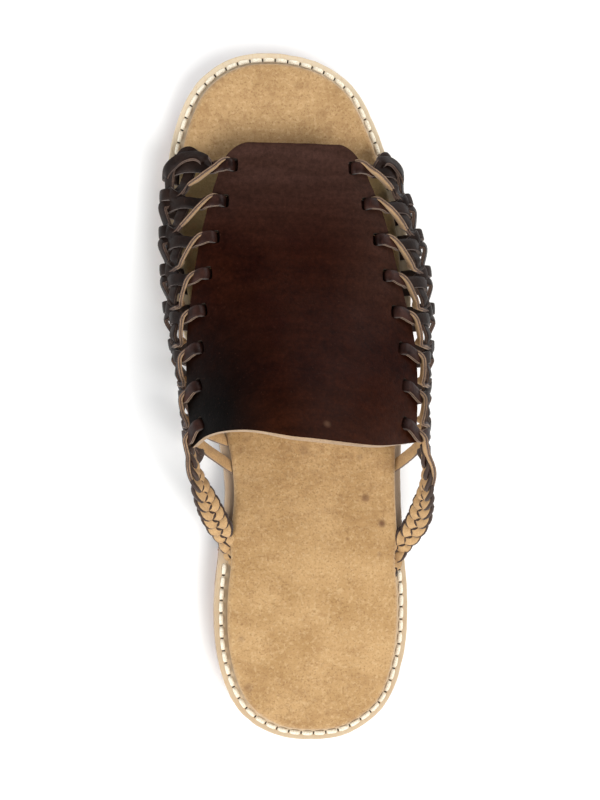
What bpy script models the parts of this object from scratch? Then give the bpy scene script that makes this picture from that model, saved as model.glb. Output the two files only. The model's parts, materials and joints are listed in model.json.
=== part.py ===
"""A right-foot huarache sandal: stacked leather sole, padded footbed, arched vamp and laced sides.

Metres, +Z up, toe toward +Y, the outer side of the foot toward +X, the sole standing on z = 0.
Sizes below are in millimetres and are turned to metres where the vertices are made.
"""
import math

import bmesh
import bpy
from mathutils import Vector

for old in list(bpy.data.objects):
    bpy.data.objects.remove(old)

MM = 0.001
GAP = 0.3

# Sole layers, bottom to top.
HALF_SOLE = 2.0
TOP_PIECE = 2.0
HEEL_LIFT = 3.6
OUTSOLE = 3.3
MIDSOLE = 4.0
FOOTBED = 5.0
FOOTBED_INSET = 4.2
FOOTBED_ROUND = 2.2
FOOTBED_UNDER_ROUND = 0.8

# Lengths along the last.
TOE_Y = 127.5
SPRING_Y = 68.0
TOE_SPRING = 9.0
TREAD_Y = 5.0
WAIST_Y = 4.0
BREAST_Y = -56.0
BEND_STATIONS = [-56, -46, -36, -26, -16, -6, 4, 68, 77, 86, 95, 104, 113, 121]
SHORT_EDGE = 1.2

# Laces: a flat strip, and how far it swings over or under the one that it crosses.
LACE_WIDE = 4.0
LACE_THICK = 1.6
SWING = 0.7
SLOTS = 8
SLOT_Y = 82.4
PITCH = 13.06
SLOT_IN = 8.4
SLOT_LONG = 5.3
SLOT_WIDE = 3.4
LOOP = 2.35
INNER_ROW = 0.33
OUTER_ROW = 0.59
PLAIT_WIDE = 7.4
PLAIT_THICK = 3.0
PLAIT_ENDS = {-1: (7.62, 10.33), 1: (7.62, 10.76)}

# Depth on the upper is counted in this length beyond the wall, and laces turn under the footbed.
SHEET_UNIT = 24.0
FOOT_SPARE = 0.22
FOOT_TURN = FOOTBED_UNDER_ROUND + GAP + LACE_THICK / 2 + FOOT_SPARE
LEAN = 0.34
FLAT_ANGLE = 0.05

# The vamp, its thickness and its outline.
VAMP = 2.0
VAMP_FRONT = 90.5
VAMP_CORNER = 8.0

# Recess round the rim of the midsole, where the lace ends are lasted in.
RECESS_DEEP = 2.3
RECESS_IN = 10.5
RECESS_FADE = 14.0
RECESS_ENDS = {-1: (-57.4, 98.0), 1: (-63.2, 98.0)}

OUTSOLE_Z = HALF_SOLE + GAP
HEEL_RISE = TOP_PIECE + HEEL_LIFT + 2 * GAP - OUTSOLE_Z
MIDSOLE_Z = OUTSOLE_Z + OUTSOLE + GAP
FOOTBED_Z = MIDSOLE_Z + MIDSOLE + GAP
TOP_Z = FOOTBED_Z + FOOTBED

# Outline of the sole from the toe, down the outer side, round the heel and up the arch side.
OUTLINE = [
    (-8, 127.5), (9, 124.6), (22, 116.5), (30.3, 103.5), (36.3, 89), (41.5, 73), (44.6, 54),
    (45, 34), (43.6, 13), (41.5, -10), (40.4, -33), (41.3, -56), (42.8, -77), (41.2, -97),
    (34.5, -115), (21, -125.3), (6.3, -127.5), (-9, -124.6), (-21.5, -115), (-28.5, -98),
    (-30.2, -77), (-28, -54), (-26, -34), (-28.8, -14), (-36.2, 9), (-43.4, 32), (-47.3, 57),
    (-47.8, 81), (-44.8, 99.5), (-37.5, 115.3), (-24.5, 125),
]

# Laced wall by length: edge across, edge above the footbed, slope there, widest point across.
WALL = {
    -1: [
        (-62, 22.5, -3.5, 70, 24), (-54, 25.5, 1, 70, 27), (-42, 30.5, 11.5, 70, 30.5),
        (-28, 36, 19.5, 68, 34), (-14, 38.5, 26, 64, 38), (2, 40, 23.5, 59, 40),
        (18, 40.2, 21, 54, 44.5), (34, 39.6, 19, 48, 47.2), (50, 37.8, 17.5, 41, 48.2),
        (66, 34.5, 16, 34, 48.2), (80, 30.5, 15, 25, 47.2), (95, 25.5, 14.5, 19, 46.2),
    ],
    1: [
        (-66, 40.5, -3.5, 70, 40.5), (-56, 43.6, 2.5, 70, 43.6), (-42, 44.6, 12, 70, 44.8),
        (-28, 43, 22, 60, 45.5), (-14, 38.6, 28.5, 48, 46), (2, 39.4, 26, 46, 46.8),
        (18, 39.4, 23, 43, 48.4), (34, 37.6, 20.5, 39, 49), (50, 34.6, 18.5, 35, 47.4),
        (66, 31, 16.5, 29, 43.4), (80, 25.6, 15, 22, 38.6), (95, 19.5, 14.5, 17, 33.5),
    ],
}

# Ridge of the vamp by length: across, and above the footbed.
RIDGE = [
    (-20, -7.6, 62.5), (-8, -7.2, 54.5), (4, -6.8, 48), (16, -6.4, 40.5), (28, -6, 33.5),
    (40, -5.6, 27.5), (52, -5.2, 23), (64, -4.8, 20.2), (78, -4.4, 18.8), (95, -4, 17.2),
]

# Rear edge of the vamp, from the arch side to the outer side.
VAMP_REAR = [(-1, -17), (-0.75, -12.6), (-0.4, -10.8), (0, -13), (0.5, -16), (1, -15.6)]


def ease(t):
    """Zero to one with level ends."""
    t = min(1.0, max(0.0, t))
    return t * t * (3 - 2 * t)


def rise(y):
    """How far the sole has bent up at a length y."""
    heel = HEEL_RISE * ease((WAIST_Y - y) / (WAIST_Y - BREAST_Y))
    tip = max(0.0, (y - SPRING_Y) / (TOE_Y - SPRING_Y))
    return heel + TOE_SPRING * tip ** 1.8


def along(table, x):
    """Row of a table at x, on a smooth curve through its rows."""
    x = min(table[-1][0], max(table[0][0], x))
    k = 0
    while k < len(table) - 2 and x > table[k + 1][0]:
        k += 1
    left = table[k]
    right = table[k + 1]
    before = table[max(0, k - 1)]
    after = table[min(len(table) - 1, k + 2)]
    span = right[0] - left[0]
    t = (x - left[0]) / span
    row = []
    for c in range(1, len(left)):
        m0 = (right[c] - before[c]) / (right[0] - before[0]) * span
        m1 = (after[c] - left[c]) / (after[0] - left[0]) * span
        row.append((2 * t ** 3 - 3 * t ** 2 + 1) * left[c] + (t ** 3 - 2 * t ** 2 + t) * m0
                   + (3 * t ** 2 - 2 * t ** 3) * right[c] + (t ** 3 - t ** 2) * m1)
    return row


def bezier(p, t):
    """Point of a cubic Bezier."""
    s = 1 - t
    return p[0] * s ** 3 + p[1] * 3 * s * s * t + p[2] * 3 * s * t * t + p[3] * t ** 3


def outline(inset=0.0, steps=2):
    """Closed outline of the sole as 2-D points, moved inward by inset."""
    n = len(OUTLINE)
    loop = []
    for i in range(n):
        a, b, c, d = [Vector(OUTLINE[(i + k - 1) % n]) for k in range(4)]
        for k in range(steps):
            t = k / steps
            loop.append(0.5 * (2 * b + (c - a) * t + (2 * a - 5 * b + 4 * c - d) * t * t
                               + (3 * b - a - 3 * c + d) * t ** 3))
    moved = []
    for i, point in enumerate(loop):
        step = loop[(i + 1) % len(loop)] - loop[i - 1]
        moved.append(point + Vector((-step.y, step.x)).normalized() * -inset)
    return moved


RIM = outline(0.0, 8)


def rim_x(side, y, inset):
    """Distance from the middle line to the sole's edge, less an inset, on one side."""
    best = 0.0
    for i, point in enumerate(RIM):
        nxt = RIM[(i + 1) % len(RIM)]
        if (point.y - y) * (nxt.y - y) <= 0 and point.y != nxt.y:
            x = point.x + (nxt.x - point.x) * (y - point.y) / (nxt.y - point.y)
            slope = (nxt.x - point.x) / (nxt.y - point.y)
            best = max(best, x * side - inset * math.sqrt(1 + slope * slope))
    return best


def finish(mesh_data, name, colour, rough):
    """Link a mesh as a named object with its own material."""
    for polygon in mesh_data.polygons:
        polygon.use_smooth = True
    body = bpy.data.objects.new(name, mesh_data)
    bpy.context.scene.collection.objects.link(body)
    material = bpy.data.materials.new(name)
    material.use_nodes = True
    shader = material.node_tree.nodes["Principled BSDF"]
    shader.inputs["Base Color"].default_value = colour + (1,)
    shader.inputs["Roughness"].default_value = rough
    mesh_data.materials.append(material)
    return body


def clip(loop, y, keep):
    """Part of a loop beyond a line across the sole; keep is 1 for the toe part, -1 for the heel."""
    part = []
    for i, point in enumerate(loop):
        nxt = loop[(i + 1) % len(loop)]
        if (point.y - y) * keep >= 0:
            part.append(point)
        if (point.y - y) * (nxt.y - y) < 0:
            t = (y - point.y) / (nxt.y - point.y)
            part.append(point.lerp(nxt, t))
    return part


def layer(name, loop, low, high, colour, rough, top_round=0.0, low_round=0.0, bent=True):
    """A sole layer: a filled outline, extruded, cut at stations and bent to the last."""
    bm = bmesh.new()
    face = bm.faces.new([bm.verts.new((p.x, p.y, low)) for p in loop])
    wall = bmesh.ops.extrude_face_region(bm, geom=[face])
    for item in wall["geom"]:
        if isinstance(item, bmesh.types.BMVert):
            item.co.z = high
    if bent:
        for y in BEND_STATIONS:
            bmesh.ops.bisect_plane(bm, geom=bm.verts[:] + bm.edges[:] + bm.faces[:],
                                   plane_co=(0, y, 0), plane_no=(0, 1, 0), dist=0.02)
        bmesh.ops.remove_doubles(bm, verts=bm.verts[:], dist=SHORT_EDGE)
    weight = bm.edges.layers.float.new("bevel_weight_edge")
    widest = max(top_round, low_round)
    for edge in bm.edges:
        level = edge.verts[0].co.z
        rim = edge.is_manifold and edge.calc_face_angle() > 1 and level == edge.verts[1].co.z
        if rim and widest > 0:
            edge[weight] = (top_round if level == high else low_round) / widest
    for vert in bm.verts:
        vert.co.z += rise(vert.co.y) if bent else 0.0
        vert.co *= MM
    bmesh.ops.recalc_face_normals(bm, faces=bm.faces[:])
    mesh_data = bpy.data.meshes.new(name)
    bm.to_mesh(mesh_data)
    bm.free()
    body = finish(mesh_data, name, colour, rough)
    if widest > 0:
        bevel = body.modifiers.new("rim", "BEVEL")
        bevel.limit_method = "WEIGHT"
        bevel.width = widest * MM
        bevel.segments = 2 if widest > 1 else 1
        bevel.use_clamp_overlap = False
    return body


def tool_box(name):
    """Collection for cutters or union partners."""
    box = bpy.data.collections.new(name)
    bpy.context.scene.collection.children.link(box)
    return box


tools = tool_box("cutters")


def hide_tool(tool, box):
    """Keep a cutter or union partner out of the part."""
    bpy.context.scene.collection.objects.unlink(tool)
    box.objects.link(tool)
    tool.hide_render = True
    tool.display_type = "WIRE"


def boolean(body, tool, operation):
    """Exact boolean with a hidden tool."""
    step = body.modifiers.new(operation.lower() + "_" + tool.name, "BOOLEAN")
    step.operation = operation
    step.solver = "EXACT"
    step.object = tool


def loft(name, rings, colour, rough):
    """Closed solid through rings of equal count, capped at both ends."""
    count = len(rings[0])
    verts = [point * MM for ring in rings for point in ring]
    faces = [list(range(count)), list(range(len(verts) - 1, len(verts) - count - 1, -1))]
    for r in range(len(rings) - 1):
        for c in range(count):
            d = (c + 1) % count
            faces.append([(r + 1) * count + c, (r + 1) * count + d, r * count + d, r * count + c])
    mesh_data = bpy.data.meshes.new(name)
    mesh_data.from_pydata(verts, [], faces)
    bm = bmesh.new()
    bm.from_mesh(mesh_data)
    bmesh.ops.recalc_face_normals(bm, faces=bm.faces[:])
    bm.to_mesh(mesh_data)
    bm.free()
    return finish(mesh_data, name, colour, rough)


# ---------------------------------------------------------------- sole
TAN = (0.62, 0.42, 0.24)
CREAM = (0.72, 0.58, 0.38)
BROWN = (0.24, 0.12, 0.06)
PINK_TAN = (0.52, 0.30, 0.20)
DARK = (0.055, 0.024, 0.016)

layer("half_sole", clip(outline(0.3), TREAD_Y, 1), 0, HALF_SOLE, PINK_TAN, 0.5, 0, 0.6)
layer("outsole", outline(0), OUTSOLE_Z, OUTSOLE_Z + OUTSOLE, BROWN, 0.6, 0, 0.4)
midsole = layer("midsole", outline(0), MIDSOLE_Z, MIDSOLE_Z + MIDSOLE, CREAM, 0.6)
layer("heel_lift", clip(outline(0.3), BREAST_Y, -1), TOP_PIECE + GAP, TOP_PIECE + GAP + HEEL_LIFT,
      BROWN, 0.6, 0, 0, False)
layer("heel_top_piece", clip(outline(0.8), BREAST_Y - 0.6, -1), 0, TOP_PIECE,
      PINK_TAN, 0.5, 0, 0.8, False)
layer("footbed", outline(FOOTBED_INSET), FOOTBED_Z, TOP_Z, TAN, 0.8,
      FOOTBED_ROUND, FOOTBED_UNDER_ROUND)


def recess_ring(side, y):
    """Section of the recess at a length y; its floor comes up to the top at the toe end."""
    low, high = RECESS_ENDS[side]
    fade = ease((y - high + RECESS_FADE) / RECESS_FADE)
    floor = MIDSOLE_Z + MIDSOLE + rise(y) - RECESS_DEEP * (1 - fade) + 0.2 * fade
    top = MIDSOLE_Z + MIDSOLE + rise(y) + 3
    outer = rim_x(side, y, -3) * side
    inner = rim_x(side, y, RECESS_IN) * side
    return [Vector((outer, y, floor)), Vector((inner, y, floor)),
            Vector((inner, y, top)), Vector((outer, y, top))]


for side, hand in ((-1, "medial"), (1, "lateral")):
    first, last = RECESS_ENDS[side]
    count = 20
    rings = [recess_ring(side, first + (last - first) * i / count) for i in range(count + 1)]
    recess = loft("recess_" + hand, rings, CREAM, 0.6)
    hide_tool(recess, tools)
    boolean(midsole, recess, "DIFFERENCE")


# ---------------------------------------------------------------- upper surface
def edge_row(side, y):
    """Edge point, slope, and widest point of the laced wall at a length y."""
    x, up, slope, wide = along(WALL[side], y)
    edge = Vector((x * side, y, TOP_Z + rise(y) + up))
    return edge, math.radians(slope), wide * side


def half_arch(side, y):
    """Bezier from the ridge of the vamp to its edge on one side."""
    edge, slope, _ = edge_row(side, y)
    ridge_x, ridge_up = along(RIDGE, y)
    ridge = Vector((ridge_x, y, TOP_Z + rise(y) + ridge_up))
    reach = abs(edge.x - ridge.x)
    out = Vector((side * math.cos(slope), 0, -math.sin(slope)))
    return [ridge, ridge + Vector((side * reach * 0.42, 0, 0)),
            edge - out * (0.30 * (edge - ridge).length), edge]


def wall_curve(side, y):
    """Bezier from the vamp's edge down to the footbed's edge on one side."""
    edge, slope, wide = edge_row(side, y)
    foot_x = rim_x(side, y, FOOTBED_INSET + FOOTBED_UNDER_ROUND - FOOT_TURN) * side
    foot = Vector((foot_x, y, FOOTBED_Z + rise(y) + FOOTBED_UNDER_ROUND))
    tall = (edge - foot).length
    out = Vector((side * math.cos(slope), 0, -math.sin(slope)))
    upper = edge + out * (0.30 * tall)
    lower = Vector((0, y, foot.z + 0.36 * tall))
    lower.x = (wide - 0.064 * edge.x - 0.288 * upper.x - 0.216 * foot.x) / 0.432
    return [edge, upper, lower, foot]


def on_sheet(side, y, d):
    """Middle of the upper: d under 0 runs in over the vamp, 0 to 1 down the wall, then under."""
    if d > 1:
        foot = wall_curve(side, y)[3]
        gone = (d - 1) * SHEET_UNIT
        turn = min(gone / FOOT_TURN, math.pi / 2)
        along_floor = max(0.0, gone - FOOT_TURN * math.pi / 2)
        inward = FOOT_TURN * (1 - math.cos(turn)) + along_floor
        return foot + Vector((-side * inward, 0, -FOOT_TURN * math.sin(turn)))
    if d >= 0:
        return bezier(wall_curve(side, y), d)
    curve = half_arch(side, y)
    here = curve[3]
    left = -d * SHEET_UNIT
    t = 1.0
    while t > 0.05:
        t -= 0.05
        nxt = bezier(curve, t)
        step = (nxt - here).length
        if step >= left:
            return here.lerp(nxt, left / step)
        left -= step
        here = nxt
    return here


def sheet_frame(side, y, d):
    """Point of the upper with its heelward, downward and outward directions."""
    low = d - 0.02
    high = d + 0.02
    if d <= 0:
        high = min(high, 0.0)
    elif d <= 1:
        low = max(low, 0.0)
    fall = (on_sheet(side, y, high) - on_sheet(side, y, low)).normalized()
    back = (on_sheet(side, y - 0.5, d) - on_sheet(side, y + 0.5, d)).normalized()
    return on_sheet(side, y, d), back, fall, back.cross(fall).normalized() * side


def tilt(k):
    """How far heelward the lacing leans by slot k, in pitches."""
    return LEAN * (max(0.0, min(SLOTS - 1, k)) / (SLOTS - 1)) ** 1.5


def smooth_path(points, steps):
    """Catmull-Rom curve through control points."""
    rows = [Vector(p) for p in points]
    path = []
    for i in range(len(rows) - 1):
        a = rows[max(0, i - 1)]
        b = rows[i]
        c = rows[i + 1]
        d = rows[min(len(rows) - 1, i + 2)]
        for k in range(steps):
            t = k / steps
            path.append(0.5 * (2 * b + (c - a) * t + (2 * a - 5 * b + 4 * c - d) * t * t
                               + (3 * b - a - 3 * c + d) * t ** 3))
    path.append(rows[-1])
    return path


def lace(name, side, controls, steps, wide, thick, thin=None):
    """Flat strip that follows control points given as pitches heelward, sheet depth and lift."""
    spots = []
    for k, d, lift in smooth_path(controls, steps):
        point, back, fall, normal = sheet_frame(side, SLOT_Y - PITCH * k, d)
        spots.append((point + normal * lift, normal))
    rings = []
    across = None
    for i, (point, normal) in enumerate(spots):
        ahead = spots[min(i + 1, len(spots) - 1)][0]
        behind = spots[max(i - 1, 0)][0]
        run = (ahead - behind).normalized()
        flat = run - normal * run.dot(normal)
        if flat.length > 0.4 or across is None:
            turned = normal.cross(flat).normalized()
            if across is not None and turned.dot(across) < 0:
                turned = -turned
            across = turned
        across = (across - run * across.dot(run)).normalized()
        deep = run.cross(across).normalized()
        share = i / (len(spots) - 1)
        half = 0.5 * (thick if thin is None else thick + (thin - thick) * ease(share * 2.5 - 0.7))
        rings.append([point - across * (wide / 2) - deep * half,
                      point + across * (wide / 2) - deep * half,
                      point + across * (wide / 2) + deep * half,
                      point - across * (wide / 2) + deep * half])
    return loft(name, rings, DARK, 0.5)


# ---------------------------------------------------------------- vamp
def vamp_shell():
    """Arched sheet through the middle of the vamp leather."""
    columns = [-1, -0.97, -0.91, -0.82, -0.7, -0.54, -0.36, -0.18, 0,
               0.18, 0.36, 0.54, 0.7, 0.82, 0.91, 0.97, 1]
    lines = 15
    verts = []
    for c in columns:
        side = -1 if c < 0 else 1
        half_width = abs(half_arch(side, VAMP_FRONT)[3].x - half_arch(side, VAMP_FRONT)[0].x)
        from_edge = (1 - abs(c)) * half_width
        near = max(0.0, VAMP_CORNER - from_edge)
        front = VAMP_FRONT - VAMP_CORNER + math.sqrt(VAMP_CORNER ** 2 - near ** 2)
        rear = along(VAMP_REAR, c)[0]
        for r in range(lines):
            y = front + (rear - front) * r / (lines - 1)
            verts.append(bezier(half_arch(side, y), abs(c)) * MM)
    faces = []
    for c in range(len(columns) - 1):
        for r in range(lines - 1):
            at = c * lines + r
            faces.append([at, at + 1, at + lines + 1, at + lines])
    mesh_data = bpy.data.meshes.new("vamp")
    mesh_data.from_pydata(verts, [], faces)
    body = finish(mesh_data, "vamp", DARK, 0.45)
    shell = body.modifiers.new("leather", "SOLIDIFY")
    shell.thickness = VAMP * MM
    shell.offset = 0
    shell.use_even_offset = True
    return body


def slot_box(side, j):
    """Rings of the cutter for one lacing slot."""
    y = SLOT_Y - PITCH * j
    point, back, fall, normal = sheet_frame(side, y, -SLOT_IN / SHEET_UNIT)
    run = (fall * SLOT_IN + back * (tilt(j) * PITCH)).normalized()
    across = normal.cross(run).normalized()
    rings = []
    for lift in (-3, 3):
        ring = []
        for a, b in ((-1, -1), (1, -1), (1, 1), (-1, 1)):
            ring.append(point + normal * lift + run * (a * SLOT_WIDE / 2)
                        + across * (b * SLOT_LONG / 2))
        rings.append(ring)
    return rings


vamp = vamp_shell()
slots = bmesh.new()
for side in (-1, 1):
    for j in range(SLOTS):
        box = loft("slot", slot_box(side, j), DARK, 0.5)
        slots.from_mesh(box.data)
        bpy.data.objects.remove(box)
slot_data = bpy.data.meshes.new("slots")
slots.to_mesh(slot_data)
slots.free()
slot_tool = finish(slot_data, "slots", DARK, 0.5)
hide_tool(slot_tool, tools)
boolean(vamp, slot_tool, "DIFFERENCE")


# ---------------------------------------------------------------- laced sides
def cross_lace(side, j):
    """One lace: up from the sole, round through slot j, and down to the sole again."""
    lean = tilt(j)
    base = j + lean
    rake = (j / (SLOTS - 1)) ** 3
    inner = SLOT_IN / SHEET_UNIT
    bend = LOOP / SHEET_UNIT

    def front(d):
        """Front leg, from under the vamp's edge to the sole."""
        d = min(d, 1 + 0.3 * max(0.0, d - 1))
        return base - 0.15 + 0.21 * d + 0.38 * rake * d

    def rear(d):
        """Rear leg, from the vamp's edge to the sole."""
        d = min(d, 1 + 0.3 * max(0.0, d - 1))
        return base + 0.38 + 0.32 * (d - 0.3) + 0.85 * rake * (d - 0.3)

    points = [(front(d), d, 0) for d in (1.3, 1.13, 1.06, 1.0, 0.82)]
    points += [
        (front(OUTER_ROW), OUTER_ROW, -SWING), (front(INNER_ROW), INNER_ROW, SWING),
        (base - 0.17, 0.17, -0.3), (base - 0.08, 0.03, -LOOP),
        (j + lean * bend / inner, -inner + bend, -LOOP),
        (j + lean * 0.3 * bend / inner, -inner + 0.29 * bend, -LOOP * 0.71),
        (j, -inner, 0),
        (j + lean * 0.3 * bend / inner, -inner + 0.29 * bend, LOOP * 0.71),
        (j + lean * bend / inner, -inner + bend, LOOP),
        (base + 0.05, 0.02, LOOP + 0.1), (base + 0.25, 0.17, 0.85),
        (rear(INNER_ROW), INNER_ROW, -SWING), (rear(OUTER_ROW), OUTER_ROW, SWING),
    ]
    points += [(rear(d), d, 0) for d in (0.82, 1.0, 1.06, 1.13, 1.3)]
    return lace("cross_lace", side, points, 1, LACE_WIDE, LACE_THICK)


def long_lace(side, first_inner):
    """One of the two lengthwise laces, changing rows between slots."""
    points = []
    if first_inner:
        points += [(-0.12, OUTER_ROW, 0.1), (-0.34, 0.58, 0), (-0.54, 0.53, 0), (-0.62, 0.46, 0),
                   (-0.54, 0.39, 0), (-0.34, 0.34, 0), (-0.04, INNER_ROW, -SWING)]
    else:
        points += [(-0.24, OUTER_ROW - 0.01, 0.25), (0.02, OUTER_ROW, SWING)]
    inner = first_inner
    for n in range(SLOTS):
        if inner:
            points += [(n + 0.36, INNER_ROW, SWING),
                       (n + 0.53, 0.37, 0), (n + 0.71, 0.46, -SWING), (n + 0.87, 0.55, 0)]
            points.append((n + 1.02, OUTER_ROW, SWING))
        else:
            points += [(n + 0.45, OUTER_ROW, -SWING),
                       (n + 0.58, 0.55, 0), (n + 0.71, 0.46, SWING), (n + 0.84, 0.37, 0)]
            points.append((n + 0.96, INNER_ROW, -SWING))
        inner = not inner
    points = points[:-3] + [(SLOTS - 0.25, 0.36, 0), (SLOTS + 0.15, 0.28, 0)]
    points = [(k + tilt(k), d, lift) for k, d, lift in points]
    return lace("long_lace", side, points, 1, LACE_WIDE, LACE_THICK)


def plait(side):
    """The flat plait from the vamp's rear corner down to the sole."""
    reach = [(0, 0.34), (0.13, 0.27), (0.32, 0.22), (0.48, 0.24), (0.65, 0.32), (0.78, 0.46),
             (0.88, 0.68), (0.95, 0.88), (0.985, 1.0), (0.995, 1.06), (1.0, 1.13), (1.02, 1.28)]
    start, end = PLAIT_ENDS[side]
    points = [(start + (end - start) * f, d, 0) for f, d in reach]
    return lace("plait", side, points, 1, PLAIT_WIDE, PLAIT_THICK, LACE_THICK)


for side, hand in ((-1, "medial"), (1, "lateral")):
    body = long_lace(side, True)
    body.name = "woven_side_" + hand
    others = [long_lace(side, False), plait(side)]
    others += [cross_lace(side, j) for j in range(SLOTS)]
    strips = tool_box("strips_" + hand)
    for strip in others:
        hide_tool(strip, strips)
    join = body.modifiers.new("join", "BOOLEAN")
    join.operation = "UNION"
    join.solver = "EXACT"
    join.operand_type = "COLLECTION"
    join.collection = strips
    tidy = body.modifiers.new("flat_faces", "DECIMATE")
    tidy.decimate_type = "DISSOLVE"
    tidy.angle_limit = FLAT_ANGLE
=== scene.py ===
"""Looks of the huarache sandal: right shoe, standing on a plain pale floor, seen from above.

Sizes are in millimetres in the row's frame and are turned to metres where vertices are made.
"""

import json
import math

import bmesh
import bpy
from mathutils import Matrix, Vector, noise

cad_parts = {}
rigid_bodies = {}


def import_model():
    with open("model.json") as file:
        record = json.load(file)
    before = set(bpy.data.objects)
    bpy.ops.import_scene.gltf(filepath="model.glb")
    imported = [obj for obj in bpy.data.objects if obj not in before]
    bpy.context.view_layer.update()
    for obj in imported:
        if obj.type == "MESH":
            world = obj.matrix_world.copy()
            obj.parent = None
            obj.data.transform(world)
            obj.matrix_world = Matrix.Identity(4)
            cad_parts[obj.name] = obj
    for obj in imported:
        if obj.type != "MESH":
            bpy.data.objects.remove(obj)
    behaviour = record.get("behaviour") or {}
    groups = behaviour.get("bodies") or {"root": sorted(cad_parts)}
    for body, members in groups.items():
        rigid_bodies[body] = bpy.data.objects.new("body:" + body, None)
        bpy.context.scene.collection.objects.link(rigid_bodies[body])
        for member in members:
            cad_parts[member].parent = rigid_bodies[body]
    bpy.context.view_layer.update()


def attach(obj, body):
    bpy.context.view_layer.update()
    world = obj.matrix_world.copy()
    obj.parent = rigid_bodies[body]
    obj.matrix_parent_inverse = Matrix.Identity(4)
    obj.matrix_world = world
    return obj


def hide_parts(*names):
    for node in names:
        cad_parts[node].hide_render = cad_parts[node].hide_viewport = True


for old in list(bpy.data.objects):
    bpy.data.objects.remove(old)

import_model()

MM = 0.001

# ---------------------------------------------------------------- sizes shared with the CAD
GAP = 0.3
HALF_SOLE = 2.0
TOP_PIECE = 2.0
HEEL_LIFT = 3.6
OUTSOLE = 3.3
MIDSOLE = 4.0
FOOTBED = 5.0
FOOTBED_INSET = 4.2
FOOTBED_UNDER_ROUND = 0.8
TOE_Y = 127.5
SPRING_Y = 68.0
TOE_SPRING = 9.0
TREAD_Y = 5.0
WAIST_Y = 4.0
BREAST_Y = -56.0
SLOTS = 8
SLOT_Y = 82.4
PITCH = 13.06
INNER_ROW = 0.33
OUTER_ROW = 0.59
SHEET_UNIT = 24.0
LEAN = 0.34
VAMP = 2.0
VAMP_FRONT = 90.5
VAMP_CORNER = 8.0
OUTSOLE_Z = HALF_SOLE + GAP
HEEL_RISE = TOP_PIECE + HEEL_LIFT + 2 * GAP - OUTSOLE_Z
MIDSOLE_Z = OUTSOLE_Z + OUTSOLE + GAP
FOOTBED_Z = MIDSOLE_Z + MIDSOLE + GAP
TOP_Z = FOOTBED_Z + FOOTBED

# Laces as they look: separate strips, pressed close, that really pass over and under.
LACE_WIDE = 4.1
LACE_THICK = 1.4
UNDER = 0.8
OVER = 1.0
OUTER_OVER = 1.5
LOOP = 1.95
FOOT_TURN = 1.55
BED_INSET = 4.7
# Painted shade along the footbed's lower edge: its length span, and how far below the top it
# starts.
BED_EDGE_SHADE = (-56, 80)
BED_EDGE_SHADE_DROP = 1.9
SLOT_IN = 7.3
FIRST_SLOT_IN = 6.4
# How far in from the sheet's edge line the vamp leather is cut on each side, and slots moved out.
TRIM = {-1: 1.5, 1: 2.3}
TRIM_ENDS = 14
TRIM_FADE = 30
SLOTS_OUT = {-1: 0.9, 1: 0.0}
SLOT_LONG = 5.0
SLOT_WIDE = 3.2
SLOT_SHIFT = 0.45
PLAIT_ENDS = {-1: (7.62, 10.75), 1: (7.62, 11.0)}

OUTLINE = [
    (-8, 127.5), (9, 124.6), (22, 116.5), (30.3, 103.5), (36.3, 89), (41.5, 73), (44.6, 54),
    (45, 34), (43.6, 13), (41.5, -10), (40.4, -33), (41.3, -56), (42.8, -77), (41.2, -97),
    (34.5, -115), (21, -125.3), (6.3, -127.5), (-9, -124.6), (-21.5, -115), (-28.5, -98),
    (-30.2, -77), (-28, -54), (-26, -34), (-28.8, -14), (-36.2, 9), (-43.4, 32), (-47.3, 57),
    (-47.8, 81), (-44.8, 99.5), (-37.5, 115.3), (-24.5, 125),
]
WALL = {
    -1: [
        (-62, 22.5, -3.5, 70, 24), (-54, 25.5, 1, 70, 27), (-42, 30.5, 11.5, 70, 30.5),
        (-28, 36, 19.5, 68, 34), (-14, 38.5, 26, 64, 38), (2, 40, 23.5, 59, 40),
        (18, 40.2, 21, 54, 44.5), (34, 39.6, 19, 48, 47.2), (50, 37.8, 17.5, 41, 48.2),
        (66, 34.5, 16, 34, 48.2), (80, 30.5, 15, 25, 47.2), (95, 25.5, 14.5, 19, 46.2),
    ],
    1: [
        (-66, 40.5, -3.5, 70, 40.5), (-56, 43.6, 2.5, 70, 43.6), (-42, 44.6, 12, 70, 44.8),
        (-28, 43, 22, 60, 45.5), (-14, 38.6, 28.5, 48, 46), (2, 39.4, 26, 46, 46.8),
        (18, 39.4, 23, 43, 48.4), (34, 37.6, 20.5, 39, 49), (50, 34.6, 18.5, 35, 47.4),
        (66, 31, 16.5, 29, 43.4), (80, 25.6, 15, 22, 38.6), (95, 19.5, 14.5, 17, 33.5),
    ],
}
RIDGE = [
    (-20, -7.6, 62.5), (-8, -7.2, 54.5), (4, -6.8, 48), (16, -6.4, 40.5), (28, -6, 33.5),
    (40, -5.6, 27.5), (52, -5.2, 23), (64, -4.8, 20.2), (78, -4.4, 18.8), (95, -4, 17.2),
]
VAMP_REAR = [(-1, -17), (-0.75, -12.6), (-0.4, -10.8), (0, -13), (0.5, -16), (1, -15.6)]


# ---------------------------------------------------------------- shape of the last
def ease(t):
    """Zero to one with level ends."""
    t = min(1.0, max(0.0, t))
    return t * t * (3 - 2 * t)


def rise(y):
    """How far the sole has bent up at a length y."""
    heel = HEEL_RISE * ease((WAIST_Y - y) / (WAIST_Y - BREAST_Y))
    tip = max(0.0, (y - SPRING_Y) / (TOE_Y - SPRING_Y))
    return heel + TOE_SPRING * tip ** 1.8


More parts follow.
